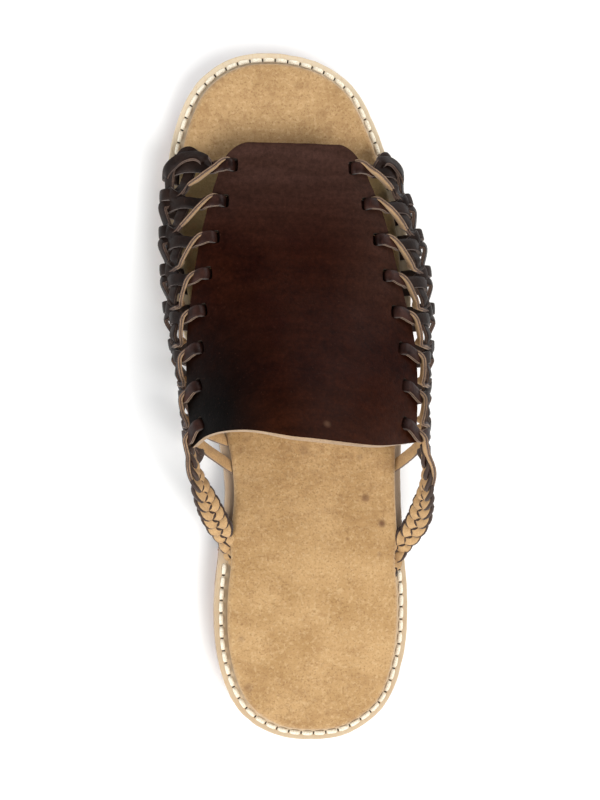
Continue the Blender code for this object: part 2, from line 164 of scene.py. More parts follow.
def along(table, x):
    """Row of a table at x, on a smooth curve through its rows."""
    x = min(table[-1][0], max(table[0][0], x))
    k = 0
    while k < len(table) - 2 and x > table[k + 1][0]:
        k += 1
    left = table[k]
    right = table[k + 1]
    before = table[max(0, k - 1)]
    after = table[min(len(table) - 1, k + 2)]
    span = right[0] - left[0]
    t = (x - left[0]) / span
    row = []
    for c in range(1, len(left)):
        m0 = (right[c] - before[c]) / (right[0] - before[0]) * span
        m1 = (after[c] - left[c]) / (after[0] - left[0]) * span
        row.append((2 * t ** 3 - 3 * t ** 2 + 1) * left[c] + (t ** 3 - 2 * t ** 2 + t) * m0
                   + (3 * t ** 2 - 2 * t ** 3) * right[c] + (t ** 3 - t ** 2) * m1)
    return row


def bezier(p, t):
    """Point of a cubic Bezier."""
    s = 1 - t
    return p[0] * s ** 3 + p[1] * 3 * s * s * t + p[2] * 3 * s * t * t + p[3] * t ** 3


def smooth_path(points, steps, closed=False):
    """Catmull-Rom curve through control points."""
    rows = [Vector(p) for p in points]
    n = len(rows)
    path = []
    for i in range(n if closed else n - 1):
        if closed:
            a, b, c, d = [rows[(i + k - 1) % n] for k in range(4)]
        else:
            a, b, c, d = rows[max(0, i - 1)], rows[i], rows[i + 1], rows[min(n - 1, i + 2)]
        for k in range(steps):
            t = k / steps
            path.append(0.5 * (2 * b + (c - a) * t + (2 * a - 5 * b + 4 * c - d) * t * t
                               + (3 * b - a - 3 * c + d) * t ** 3))
    if not closed:
        path.append(rows[-1])
    return path


def inward(loop, inset):
    """A closed 2-D loop moved inward, or outward where inset is under 0."""
    moved = []
    for i, point in enumerate(loop):
        step = loop[(i + 1) % len(loop)] - loop[i - 1]
        moved.append(point + Vector((-step.y, step.x)).normalized() * -inset)
    return moved


RIM = smooth_path(OUTLINE, 12, True)


def crossings(y):
    """Where the sole's edge crosses a length y, as (x, change of x with y)."""
    found = []
    for i, point in enumerate(RIM):
        nxt = RIM[(i + 1) % len(RIM)]
        if (point.y - y) * (nxt.y - y) <= 0 and point.y != nxt.y:
            slope = (nxt.x - point.x) / (nxt.y - point.y)
            found.append((point.x + (nxt.x - point.x) * (y - point.y) / (nxt.y - point.y), slope))
    return found


def rim_x(side, y, inset):
    """Distance from the middle line to the sole's edge, less an inset, on one side."""
    return max([0.0] + [x * side - inset * math.sqrt(1 + slope * slope)
                        for x, slope in crossings(y)])


def edge_row(side, y):
    """Edge point, slope, and widest point of the laced wall at a length y."""
    x, up, slope, wide = along(WALL[side], y)
    edge = Vector((x * side, y, TOP_Z + rise(y) + up))
    return edge, math.radians(slope), wide * side


def half_arch(side, y):
    """Bezier from the ridge of the vamp to its edge on one side."""
    edge, slope, _ = edge_row(side, y)
    ridge_x, ridge_up = along(RIDGE, y)
    ridge = Vector((ridge_x, y, TOP_Z + rise(y) + ridge_up))
    reach = abs(edge.x - ridge.x)
    out = Vector((side * math.cos(slope), 0, -math.sin(slope)))
    return [ridge, ridge + Vector((side * reach * 0.42, 0, 0)),
            edge - out * (0.30 * (edge - ridge).length), edge]


WALL_CACHE = {}


def wall_curve(side, y):
    """Bezier from the vamp's edge down to the footbed's edge on one side."""
    key = (side, round(y, 3))
    if key not in WALL_CACHE:
        edge, slope, wide = edge_row(side, y)
        foot_x = rim_x(side, y, FOOTBED_INSET + FOOTBED_UNDER_ROUND - FOOT_TURN) * side
        foot = Vector((foot_x, y, FOOTBED_Z + rise(y) + FOOTBED_UNDER_ROUND))
        tall = (edge - foot).length
        out = Vector((side * math.cos(slope), 0, -math.sin(slope)))
        upper = edge + out * (0.30 * tall)
        lower = Vector((0, y, foot.z + 0.36 * tall))
        lower.x = (wide - 0.064 * edge.x - 0.288 * upper.x - 0.216 * foot.x) / 0.432
        WALL_CACHE[key] = [edge, upper, lower, foot]
    return WALL_CACHE[key]


def on_sheet(side, y, d):
    """Middle of the upper: d under 0 runs in over the vamp, 0 to 1 down the wall, then under."""
    if d > 1:
        foot = wall_curve(side, y)[3]
        gone = (d - 1) * SHEET_UNIT
        turn = min(gone / FOOT_TURN, math.pi / 2)
        along_floor = max(0.0, gone - FOOT_TURN * math.pi / 2)
        inner = FOOT_TURN * (1 - math.cos(turn)) + along_floor
        return foot + Vector((-side * inner, 0, -FOOT_TURN * math.sin(turn)))
    if d >= 0:
        return bezier(wall_curve(side, y), d)
    curve = half_arch(side, y)
    here = curve[3]
    left = -d * SHEET_UNIT
    t = 1.0
    while t > 0.05:
        t -= 0.05
        nxt = bezier(curve, t)
        step = (nxt - here).length
        if step >= left:
            return here.lerp(nxt, left / step)
        left -= step
        here = nxt
    return here


def sheet_frame(side, y, d):
    """Point of the upper with its heelward, downward and outward directions."""
    low = d - 0.02
    high = d + 0.02
    if d <= 0:
        high = min(high, 0.0)
    elif d <= 1:
        low = max(low, 0.0)
    fall = (on_sheet(side, y, high) - on_sheet(side, y, low)).normalized()
    back = (on_sheet(side, y - 0.5, d) - on_sheet(side, y + 0.5, d)).normalized()
    return on_sheet(side, y, d), back, fall, back.cross(fall).normalized() * side


def slot_in(side, j):
    """How far in from the sheet's edge line slot j is."""
    return (FIRST_SLOT_IN if j == 0 else SLOT_IN) - SLOTS_OUT[side]


def trim(side, y):
    """How far in from the sheet's edge line the vamp is cut, which runs out at the rear."""
    return TRIM[side] * ease((y - TRIM_ENDS) / TRIM_FADE)


def tilt(k):
    """How far heelward the lacing leans by slot k, in pitches."""
    return LEAN * (max(0.0, min(SLOTS - 1, k)) / (SLOTS - 1)) ** 1.5


def heading(spots, i):
    """From the spot before spot i to the one after it; a spot starts with its point."""
    return spots[min(i + 1, len(spots) - 1)][0] - spots[max(i - 1, 0)][0]


def running_length(points):
    """Length along a path up to each of its points."""
    lengths = [0.0]
    for a, b in zip(points, points[1:]):
        lengths.append(lengths[-1] + (b - a).length)
    return lengths


def wander(seed, k):
    """A small repeatable irregularity, about -1 to 1."""
    return noise.noise(Vector((seed * 7.31, k * 1.7, 0.5)))


# ---------------------------------------------------------------- node helpers
def material(name, rough, sheen=0.0):
    """A material with its shader and its coordinates in millimetres."""
    made = bpy.data.materials.new(name)
    made.use_nodes = True
    tree = made.node_tree
    shader = tree.nodes["Principled BSDF"]
    shader.inputs["Roughness"].default_value = rough
    shader.inputs["Sheen Weight"].default_value = sheen
    where = tree.nodes.new("ShaderNodeTexCoord")
    scale = tree.nodes.new("ShaderNodeMapping")
    scale.inputs["Scale"].default_value = (1 / MM, 1 / MM, 1 / MM)
    tree.links.new(where.outputs["Object"], scale.inputs["Vector"])
    return made, shader, scale.outputs["Vector"]


def node_on(kind, *values):
    """A new node in the tree of the first socket among the values, and that tree."""
    tree = next(v for v in values if isinstance(v, bpy.types.NodeSocket)).id_data
    return tree.nodes.new(kind), tree


def put(tree, value, target):
    """Feed an input with a socket, a number or a colour."""
    if isinstance(value, bpy.types.NodeSocket):
        tree.links.new(value, target)
    else:
        target.default_value = value + (1,) if isinstance(value, tuple) else value


def stretch(at, scale):
    """Coordinates scaled differently along each axis."""
    node, tree = node_on("ShaderNodeMapping", at)
    node.inputs["Scale"].default_value = scale
    tree.links.new(at, node.inputs["Vector"])
    return node.outputs["Vector"]


def clouds(at, size, detail=2.0, rough=0.5):
    """Noise whose features are about size mm."""
    node, tree = node_on("ShaderNodeTexNoise", at)
    node.inputs["Scale"].default_value = 1 / size
    node.inputs["Detail"].default_value = detail
    node.inputs["Roughness"].default_value = rough
    tree.links.new(at, node.inputs["Vector"])
    return node.outputs["Fac"]


def cells(at, size):
    """Distance to the nearest of points about size mm apart."""
    node, tree = node_on("ShaderNodeTexVoronoi", at)
    node.inputs["Scale"].default_value = 1 / size
    tree.links.new(at, node.inputs["Vector"])
    return node.outputs["Distance"]


def ramp(value, stops):
    """Colour ramp through (place, colour) stops; a colour may be one grey number."""
    node, tree = node_on("ShaderNodeValToRGB", value)
    row = node.color_ramp
    while len(row.elements) < len(stops):
        row.elements.new(0.5)
    for element, (share, colour) in zip(row.elements, stops):
        element.position = share
        element.color = (colour,) * 3 + (1,) if isinstance(colour, (int, float)) else colour + (1,)
    tree.links.new(value, node.inputs["Fac"])
    return node.outputs["Color"]


def blend(share, first, second, mode="MIX"):
    """Mix of two colours, each a socket or a value."""
    node, tree = node_on("ShaderNodeMix", share, first, second)
    node.data_type = "RGBA"
    node.blend_type = mode
    for slot, value in ((0, share), (6, first), (7, second)):
        put(tree, value, node.inputs[slot])
    return node.outputs[2]


def figure(operation, first, second):
    """Maths on two values, each a socket or a number."""
    node, tree = node_on("ShaderNodeMath", first, second)
    node.operation = operation
    for slot, value in enumerate((first, second)):
        put(tree, value, node.inputs[slot])
    return node.outputs[0]


def times(first, second):
    """Product of two values."""
    return figure("MULTIPLY", first, second)


def flip(value):
    """One less a value."""
    return figure("SUBTRACT", 1.0, value)


def axis(at, name):
    """One coordinate in millimetres."""
    node, tree = node_on("ShaderNodeSeparateXYZ", at)
    tree.links.new(at, node.inputs[0])
    return node.outputs[name]


def step_up(value, low, high):
    """Zero below low, one above high, smooth between."""
    node, tree = node_on("ShaderNodeMapRange", value)
    node.interpolation_type = "SMOOTHSTEP"
    node.inputs["From Min"].default_value = low
    node.inputs["From Max"].default_value = high
    tree.links.new(value, node.inputs["Value"])
    return node.outputs["Result"]


def band(value, low, full_from, full_to, high):
    """One between full_from and full_to, zero below low and above high."""
    return times(step_up(value, low, full_from), flip(step_up(value, full_to, high)))


def spot(at, centre, near, far):
    """One inside a small round mark, zero outside it."""
    node, tree = node_on("ShaderNodeVectorMath", at)
    node.operation = "DISTANCE"
    node.inputs[1].default_value = centre
    tree.links.new(at, node.inputs[0])
    return flip(step_up(node.outputs["Value"], near, far))


def patches(base, value, low, high, share, colour):
    """A base colour with another over it where a value is above low, up to share from high on."""
    return blend(ramp(value, [(low, 0.0), (high, share)]), base, colour)


def bumps(shader, layers):
    """Bump from (height, depth in mm) layers."""
    last = None
    for height, depth in layers:
        node, tree = node_on("ShaderNodeBump", height)
        node.inputs["Strength"].default_value = 1.0
        node.inputs["Distance"].default_value = depth * MM
        tree.links.new(height, node.inputs["Height"])
        if last is not None:
            tree.links.new(last, node.inputs["Normal"])
        last = node.outputs["Normal"]
    put(tree, last, shader.inputs["Normal"])


def colour_of(shader, value):
    """Give the shader its colour."""
    put(shader.id_data, value, shader.inputs["Base Color"])


def rough_of(shader, value, low, high):
    """Give the shader a roughness that follows a value."""
    put(shader.id_data, ramp(value, [(0.3, low), (0.7, high)]), shader.inputs["Roughness"])


# ---------------------------------------------------------------- materials
def vamp_leather():
    """Smooth dyed brown leather, cloudy, with a fine grain and a few scuffs, and painted light and
    shade by place.
    """
    made, shader, at = material("vamp_leather", 0.42)
    shader.inputs["Specular IOR Level"].default_value = 0.03
    base = ramp(clouds(at, 24, 4, 0.6), [
        (0.32, (0.0095, 0.0014, 0.0006)), (0.52, (0.0200, 0.0044, 0.0018)),
        (0.70, (0.0145, 0.0026, 0.0012)),
    ])
    x = axis(at, "X")
    y = axis(at, "Y")
    # Painted light on the right side and a painted sheen towards the front; redder towards the rear
    # edge.
    right = times(step_up(x, 4, 34), times(step_up(y, 16, 44), 0.7))
    base = blend(right, base, (0.042, 0.0165, 0.0100))
    base = blend(times(step_up(y, 48, 92), 0.9), base, (0.046, 0.0215, 0.0155))
    base = blend(times(flip(step_up(y, -18, 14)), 0.6), base, (0.032, 0.0078, 0.0022))
    # Painted shade: near black at the left rear.
    shade = times(step_up(times(x, -1.0), 10, 30), flip(step_up(y, -6, 44)))
    base = blend(times(shade, 0.97), base, (0.0006, 0.0003, 0.0002))
    paler = blend(1.0, base, (1.45, 1.5, 1.6), "MULTIPLY")
    streak = clouds(stretch(at, (0.12, 1, 1)), 4, 3, 0.6)
    base = patches(base, streak, 0.40, 0.66, 0.8, paler)
    mottle = ramp(clouds(at, 1.5, 4, 0.75), [(0.32, 0.55), (0.68, 1.0)])
    base = blend(1.0, base, mottle, "MULTIPLY")
    base = patches(base, clouds(at, 0.7, 2), 0.66, 0.8, 0.35, (0.07, 0.030, 0.019))
    for centre, size in (((-9.4, 84.0, 41.5), 0.5), ((-17.0, -5.0, 69.0), 0.4),
                         ((3.4, -9.0, 69.5), 0.5), ((26.0, 42.0, 38.0), 0.45)):
        mark = spot(at, centre, size * 0.5, size * 4)
        base = blend(times(mark, 0.5), base, (0.16, 0.085, 0.05))
    colour_of(shader, base)
    rough_of(shader, clouds(at, 9, 3), 0.36, 0.50)
    bumps(shader, [(clouds(at, 6, 3), 0.16), (cells(at, 0.55), 0.035), (clouds(at, 0.35, 3), 0.03)])
    return made


def lace_face(name, dark, light, shine):
    """The laces' dyed outer face."""
    made, shader, at = material(name, 0.36)
    shader.inputs["Specular IOR Level"].default_value = shine
    cloud = clouds(at, 5, 3)
    base = ramp(cloud, [(0.35, dark), (0.65, light)])
    fleck = clouds(stretch(at, (1, 0.3, 1)), 0.8, 2)
    base = patches(base, fleck, 0.6, 0.8, 0.3, tuple(c * 3 for c in light))
    colour_of(shader, base)
    rough_of(shader, cloud, 0.34, 0.52)
    bumps(shader, [(clouds(at, 1.6, 3), 0.12), (cells(at, 0.5), 0.035)])
    return made


def raw_leather(name, dark, light, size=0.5, deep=0.08):
    """Undyed leather: a cut edge or the suede side."""
    made, shader, at = material(name, 0.85, 0.15)
    fine = clouds(at, size, 3, 0.65)
    wide = clouds(at, size * 9, 2)
    base = ramp(fine, [(0.3, dark), (0.7, light)])
    colour_of(shader, patches(base, wide, 0.42, 0.75, 0.55, tuple(c * 0.72 for c in dark)))
    bumps(shader, [(fine, deep), (wide, deep * 2)])
    return made


# Small marks on the footbed: centre, size in mm and how dark.
FOOTBED_MARKS = [
    ((31.9, -46.5, 0), 1.1, 0.95), ((25.8, -37.0, 0), 1.2, 0.75), ((24.0, -22.0, 0), 1.0, 0.35),
    ((19.0, -52.0, 0), 0.6, 0.4), ((-18.0, -106.0, 0), 1.4, 0.4), ((3.0, -19.0, 0), 1.6, 0.4),
    ((-20.5, -88.0, 0), 1.0, 0.35), ((31.0, -58.0, 0), 0.8, 0.35),
]


def footbed_suede():
    """Pigskin suede, tan, with pale flecks, darker handling marks and close pores."""
    made, shader, at = material("footbed_suede", 0.88, 0.25)
    shader.inputs["Specular IOR Level"].default_value = 0.2
    base = ramp(clouds(at, 17, 4, 0.6),
                [(0.34, (0.375, 0.220, 0.088)), (0.62, (0.480, 0.300, 0.136))])
    x = axis(at, "X")
    y = axis(at, "Y")
    base = blend(times(step_up(y, 30, 80), 0.4), base, (0.385, 0.245, 0.118))
    smear = clouds(stretch(at, (0.45, 1, 1)), 3.4, 3, 0.6)
    base = patches(base, smear, 0.52, 0.72, 0.42, (0.285, 0.150, 0.058))
    base = patches(base, clouds(at, 1.3, 2, 0.6), 0.50, 0.68, 0.40, (0.605, 0.425, 0.228))
    pore = ramp(clouds(at, 0.8, 2, 0.6), [(0.31, 0.6), (0.47, 0.0)])
    base = blend(pore, base, (0.225, 0.118, 0.045))
    grime = ramp(clouds(at, 2.2, 3, 0.7), [(0.48, 0.0), (0.66, 0.5)])
    base = blend(times(flip(step_up(y, -122, -84)), grime), base, (0.255, 0.135, 0.055))
    # Painted shade: the suede beside the vamp, under the lace walls, goes dark olive.
    beside = step_up(figure("ABSOLUTE", figure("ADD", x, 1.0), 0.0), 22, 27)
    under_laces = times(beside, band(y, -24, -8, 82, 90))
    base = blend(times(under_laces, 0.8), base, (0.15, 0.105, 0.04))
    patch = ramp(clouds(at, 4.5, 4, 0.7), [(0.50, 0.0), (0.68, 0.5)])
    base = blend(times(step_up(y, -62, -30), patch), base, (0.255, 0.135, 0.055))
    flat = stretch(at, (1, 1, 0))
    for centre, size, strength in FOOTBED_MARKS:
        mark = spot(flat, centre, size * 0.3, size * 2.0)
        base = blend(times(mark, strength), base, (0.16, 0.075, 0.035))
    colour_of(shader, base)
    bumps(shader, [(clouds(at, 2.6, 3, 0.6), 0.14), (cells(at, 0.85), 0.09),
                   (clouds(at, 0.3, 2), 0.05)])
    return made


def sole_leather(name, base_low, base_high, stain, stain_share, dark_waist=False):
    """A sole layer's leather: fibrous, streaked along its length, stained in patches."""
    made, shader, at = material(name, 0.72)
    fibre = clouds(stretch(at, (0.35, 0.35, 1.6)), 1.1, 4, 0.65)
    base = ramp(fibre, [(0.3, base_low), (0.68, base_high)])
    broad = clouds(stretch(at, (1, 0.5, 1.5)), 9, 4, 0.65)
    base = patches(base, broad, 0.45, 0.68, stain_share, stain)
    base = patches(base, clouds(at, 0.55, 2, 0.7), 0.58, 0.74, 0.55, stain)
    if dark_waist:
        # Darker along the waist, in streaky mottles.
        waist = band(axis(at, "Y"), -64, -50, 22, 52)
        waist_mottle = ramp(clouds(stretch(at, (1, 0.3, 2)), 4, 3), [(0.3, 0.3), (0.6, 0.95)])
        base = blend(times(waist, waist_mottle), base, (0.085, 0.034, 0.014))
    colour_of(shader, base)
    bumps(shader, [(fibre, 0.16), (clouds(at, 0.5, 3, 0.6), 0.07)])
    return made


def midsole_leather():
    """Cream vegetable-tanned leather, smooth on top and rougher on its edge."""
    made, shader, at = material("midsole_leather", 0.62)
    base = ramp(clouds(at, 24, 3), [(0.35, (0.46, 0.335, 0.205)), (0.65, (0.55, 0.430, 0.285))])
    y = axis(at, "Y")
    base = blend(times(step_up(y, -40, 100), 0.75), base, (0.60, 0.500, 0.360))
    fine = clouds(stretch(at, (1, 0.4, 1)), 0.8, 4, 0.65)
    base = patches(base, fine, 0.52, 0.75, 0.6, (0.46, 0.29, 0.145))
    top = step_up(axis(at, "Z"), MIDSOLE_Z + MIDSOLE - 0.5, MIDSOLE_Z + MIDSOLE)
    # Partly a dye stain and partly painted shade: the rim's top darker under the laces. Painted
    # shade: the top pinkish grey along the waist.
    under_laces = times(top, band(y, -20, -6, 80, 88))
    base = blend(times(under_laces, 0.7), base, (0.18, 0.12, 0.055))
    waist = times(top, band(y, -64, -54, -20, -8))
    base = blend(times(waist, 0.6), base, (0.24, 0.155, 0.11))
    rub = clouds(stretch(at, (1, 0.25, 1)), 6, 3, 0.6)
    base = patches(base, rub, 0.55, 0.72, 0.35, (0.52, 0.34, 0.18))
    colour_of(shader, base)
    bumps(shader, [(fine, 0.07), (clouds(at, 3, 3), 0.12)])
    return made


def thread():
    """Thick off-white waxed thread."""
    made, shader, at = material("thread", 0.6)
    twist = clouds(at, 0.45, 2)
    colour_of(shader, ramp(twist, [(0.3, (0.66, 0.57, 0.42)), (0.65, (0.90, 0.84, 0.70))]))
    bumps(shader, [(twist, 0.1)])
    return made


def dark_hole():
    """Shade inside a needle hole or lacing slot."""
    made, shader, at = material("dark_hole", 0.8)
    shade = ramp(clouds(at, 1), [(0.3, (0.012, 0.007, 0.004)), (0.7, (0.035, 0.02, 0.011))])
    colour_of(shader, shade)
    return made


FACE = lace_face("lace_face", (0.010, 0.0034, 0.0024), (0.036, 0.0135, 0.0095), 0.12)
# Darker copies of the lace face and cut edge: painted shade for strips down on the wall.
SHADED_WALL_FACE = lace_face("lace_face_wall_shaded", (0.0075, 0.0036, 0.0026), (0.017, 0.0085, 0.0060), 0.09)
SHADED_CUT = raw_leather("lace_edge_painted_shade", (0.05, 0.026, 0.018), (0.17, 0.10, 0.066))
CUT = raw_leather("lace_cut_edge", (0.13, 0.075, 0.042), (0.32, 0.20, 0.12))
# Dark middle of a cut edge, also used as painted shade on the wall, at slots and on the plait.
CORE_AND_SHADE = raw_leather("lace_edge_core_and_shade", (0.030, 0.015, 0.010), (0.060, 0.032, 0.02))
FLESH = raw_leather("lace_suede_side", (0.40, 0.235, 0.10), (0.58, 0.37, 0.175))
UNDERSIDE = raw_leather("vamp_suede_side", (0.34, 0.20, 0.09), (0.50, 0.31, 0.15), 0.7)
VAMP_CUT = raw_leather("vamp_cut_edge", (0.25, 0.155, 0.085), (0.40, 0.27, 0.155))
HOLE = dark_hole()
THREAD = thread()
VAMP_TOP = vamp_leather()
SUEDE = footbed_suede()
# Dark suede for painted shade on the footbed's lower edge.
SHADED_BED_EDGE = raw_leather("footbed_edge_painted_shade", (0.075, 0.042, 0.020), (0.19, 0.115, 0.055), 0.8)
CREAM = midsole_leather()
BROWN_SOLE = sole_leather("outsole_leather", (0.26, 0.135, 0.065), (0.42, 0.25, 0.135),
                          (0.12, 0.052, 0.024), 0.7, True)
LIFT_LEATHER = sole_leather("heel_lift_leather", (0.30, 0.17, 0.09), (0.46, 0.29, 0.165),
                            (0.16, 0.075, 0.036), 0.6)
PINK_SOLE = sole_leather("tread_leather", (0.48, 0.26, 0.155), (0.60, 0.36, 0.235),
                         (0.28, 0.13, 0.07), 0.4)


# ---------------------------------------------------------------- mesh helpers
def place(name, data):
    """A new object in the scene."""
    made = bpy.data.objects.new(name, data)
    bpy.context.scene.collection.objects.link(made)
    return made


def mesh_object(name, bm, materials):
    """Turn a bmesh in millimetres into an object."""
    for vert in bm.verts:
        vert.co *= MM
    data = bpy.data.meshes.new(name)
    bm.to_mesh(data)
    bm.free()
    for entry in materials:
        data.materials.append(entry)
    return place(name, data)


def finish_mesh(name, bm, materials, sharp=42):
    """Turn a bmesh in millimetres into a smooth piece that rides on the shoe."""
    piece = mesh_object(name, bm, materials)
    for polygon in piece.data.polygons:
        polygon.use_smooth = True
    piece.data.set_sharp_from_angle(angle=math.radians(sharp))
    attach(piece, "root")
    return piece


def across_at(y):
    """Left and right edge of the sole at a length y."""
    found = [x for x, _ in crossings(y)]
    return min(found), max(found)


def join_rings(bm, rings):
    """Faces between each closed ring and the next."""
    for a, b in zip(rings, rings[1:]):
        for c in range(len(a)):
            d = (c + 1) % len(a)
            bm.faces.new((a[c], a[d], b[d], b[c]))


def sole_loop(low=None, high=None, stations=150):
    """Outline from the toe down the outer side and back, with a twin across at each length.

    low or high cuts it straight across there; elsewhere it closes round the heel or toe.
    """
    bottom = min(p.y for p in RIM) if low is None else low
    top = max(p.y for p in RIM) if high is None else high
    start = 0.0 if high is None else 0.5
    stop = 1.0 if low is None else 0.5
    right = []
    left = []
    for k in range(stations + 1):
        a = start + (stop - start) * k / stations
        whole = (1 - math.cos(math.pi * a)) / 2
        first = (1 - math.cos(math.pi * start)) / 2
        last = (1 - math.cos(math.pi * stop)) / 2
        y = top + (bottom - top) * (whole - first) / (last - first)
        y = min(top - 0.004, max(bottom + 0.004, y))
        x0, x1 = across_at(y)
        left.append(Vector((x0, y)))
        right.append(Vector((x1, y)))
    return right + left[::-1]


def pad(name, loop, profile, shade, bent=True, relief=None, rings=6, edge_relief=None,
        ends=(34, 34)):
    """A layer with the outline loop and a rim profile of (inset, height), filled to its spine.

    ends says how far the spine stops short of the loop's heel and toe ends.
    """
    bm = bmesh.new()
    low = min(p.y for p in loop) + ends[0]
    high = max(p.y for p in loop) - ends[1]

    def centre(point):
        y = min(high, max(low, point.y))
        x0, x1 = across_at(y)
        return Vector(((x0 + x1) / 2, y))

    def row(points, level, far):
        verts = []
        for p in points:
            lift = relief(p.x, p.y) * far if relief else 0.0
            verts.append(bm.verts.new((p.x, p.y, level + lift + (rise(p.y) if bent else 0.0))))
        return verts

    first = inward(loop, profile[0][0])
    last = inward(loop, profile[-1][0])
    middles = [centre(p) for p in loop]
    shares = [1 - (1 - k / rings) ** 1.25 for k in range(rings + 1)]
    rows = []
    for share in reversed(shares[1:]):
        rows.append(row([p.lerp(m, share) for p, m in zip(first, middles)], profile[0][1], 0))
    for k, (inset, level) in enumerate(profile):
        points = inward(loop, inset)
        if edge_relief and 0 < k < len(profile) - 1:
            points = [p + (m - p).normalized() * edge_relief(p.x, p.y, level)
                      for p, m in zip(points, middles)]
        rows.append(row(points, level, 0.0 if k < len(profile) - 1 else 0.4))
    for share in shares[1:]:
        rows.append(row([p.lerp(m, share) for p, m in zip(last, middles)], profile[-1][1], 1))
    join_rings(bm, rows)
    for ends_row in (rows[0], rows[-1]):
        bmesh.ops.remove_doubles(bm, verts=ends_row, dist=0.02)
    bmesh.ops.dissolve_degenerate(bm, edges=bm.edges[:], dist=0.001)
    bmesh.ops.recalc_face_normals(bm, faces=bm.faces[:])
    return finish_mesh(name, bm, [shade], 55)


def roll(inset, z, radius, steps, quarter):
    """Points of a rounded rim; quarter 0 rounds the lower edge, 1 the upper edge."""
    points = []
    for k in range(steps + 1):
        a = math.pi / 2 * k / steps
        if quarter == 0:
            points.append((inset + radius * (1 - math.sin(a)), z + radius * (1 - math.cos(a))))
        else:
            points.append((inset + radius * (1 - math.cos(a)), z - radius * (1 - math.sin(a))))
    return points


# ---------------------------------------------------------------- sole
def rough_edge(x, y, z):
    """Unevenness of a hand-trimmed leather edge."""
    spot_at = Vector((x * 0.35, y * 0.35, z * 0.9))
    return 0.16 * noise.noise(spot_at) + 0.06 * noise.noise(spot_at * 4)


full = sole_loop()
heel_part = inward(sole_loop(high=BREAST_Y, stations=70), 0.3)
top_part = inward(sole_loop(high=BREAST_Y - 0.6, stations=70), 0.8)
fore_part = inward(sole_loop(low=TREAD_Y, stations=90), 0.3)

half_sole = pad("half_sole_leather", fore_part,
                roll(0, 0, 0.6, 3, 0) + [(0, 1.3)] + roll(0, HALF_SOLE, 0.3, 2, 1),
                PINK_SOLE, edge_relief=rough_edge, ends=(4, 34))
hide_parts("half_sole")
top_piece = pad("heel_top_leather", top_part,
                roll(0, 0, 0.7, 3, 0) + [(0, 1.2)] + roll(0, TOP_PIECE, 0.2, 2, 1),
                PINK_SOLE, False, edge_relief=rough_edge, ends=(30, 4))
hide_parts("heel_top_piece")
lift_z = TOP_PIECE + GAP
lift = pad("heel_lift_layer", heel_part,
           roll(0, lift_z, 0.2, 2, 0) + [(0, lift_z + 1.2), (0, lift_z + 2.4)]
           + roll(0, lift_z + HEEL_LIFT, 0.2, 2, 1),
           LIFT_LEATHER, False, edge_relief=rough_edge, ends=(30, 4))
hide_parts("heel_lift")
outsole = pad("outsole_layer", full,
              roll(0.1, OUTSOLE_Z, 0.45, 3, 0) + [(0.05, OUTSOLE_Z + 1.1), (0, OUTSOLE_Z + 2.2)]
              + roll(0, OUTSOLE_Z + OUTSOLE, 0.25, 2, 1),
              BROWN_SOLE, edge_relief=rough_edge)
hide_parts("outsole")
mid_top = MIDSOLE_Z + MIDSOLE
midsole = pad("midsole_layer", full,
              roll(0, MIDSOLE_Z, 0.25, 2, 0) + [(0, MIDSOLE_Z + 1.3), (0, MIDSOLE_Z + 2.5)]
              + roll(0, mid_top, 0.55, 4, 1) + [(1.4, mid_top), (2.2, mid_top - 0.12),
                                               (2.9, mid_top - 0.12), (3.6, mid_top)],
              CREAM, edge_relief=rough_edge)
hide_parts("midsole")


# ---------------------------------------------------------------- footbed
def footbed_relief(x, y):
    """Soft lumps of the padding, and a slight dish."""
    spot_at = Vector((x * 0.05, y * 0.05, 0.3))
    lumps = 0.28 * noise.noise(spot_at) + 0.12 * noise.noise(spot_at * 3.1)
    across = (x - 2) / 34
    return lumps + 0.25 * across * across - 0.15


def bed_loop():
    """The footbed's outline, which spreads over the rim beside the waist."""
    moved = []
    for tight, wide in zip(inward(full, BED_INSET), inward(full, BED_INSET - 1.7)):
        share = ease((tight.y + 62) / 12) * ease((10 - tight.y) / 16)
        moved.append(tight.lerp(wide, share))
    return moved


inner_loop = bed_loop()
bed_profile = roll(0.1, FOOTBED_Z, 0.8, 3, 0) + [(0.0, FOOTBED_Z + 1.7)]
bed_profile += roll(-0.05, TOP_Z, 2.4, 8, 1) + [(4.2, TOP_Z + 0.04), (6.4, TOP_Z + 0.06)]
bed = pad("footbed_pad", inner_loop, bed_profile, SUEDE, relief=footbed_relief, rings=16)
# Painted shade: faces low on the footbed's edge beside the laces take a dark suede, for the gap
# between its rolled edge and the rim.
bed.data.materials.append(SHADED_BED_EDGE)
for polygon in bed.data.polygons:
    at_y = polygon.center.y / MM
    fade = max(0.0, BED_EDGE_SHADE[0] - at_y, at_y - BED_EDGE_SHADE[1])
    if polygon.center.z / MM < TOP_Z + rise(at_y) - BED_EDGE_SHADE_DROP - 0.25 * fade:
        polygon.material_index = 1
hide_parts("footbed")


# ---------------------------------------------------------------- stitches round the rim
STITCH_INSET = 2.5
SEAM_HIDDEN = (-62, 84)
STITCH_PITCH = 4.68
STITCH_LONG = 4.15
STITCH_WIDE = 1.6


def stitch_line():
    """Evenly spaced points along the seam, with its direction at each."""
    loop = inward(full, STITCH_INSET)
    loop.append(loop[0])
    lengths = running_length(loop)
    count = round(lengths[-1] / STITCH_PITCH)
    pitch = lengths[-1] / count
    spots = []
    k = 0
    for i in range(count):
        goal = i * pitch
        while lengths[k + 1] < goal:
            k += 1
        share = (goal - lengths[k]) / (lengths[k + 1] - lengths[k])
        spots.append((loop[k].lerp(loop[k + 1], share), (loop[k + 1] - loop[k]).normalized()))
    return spots


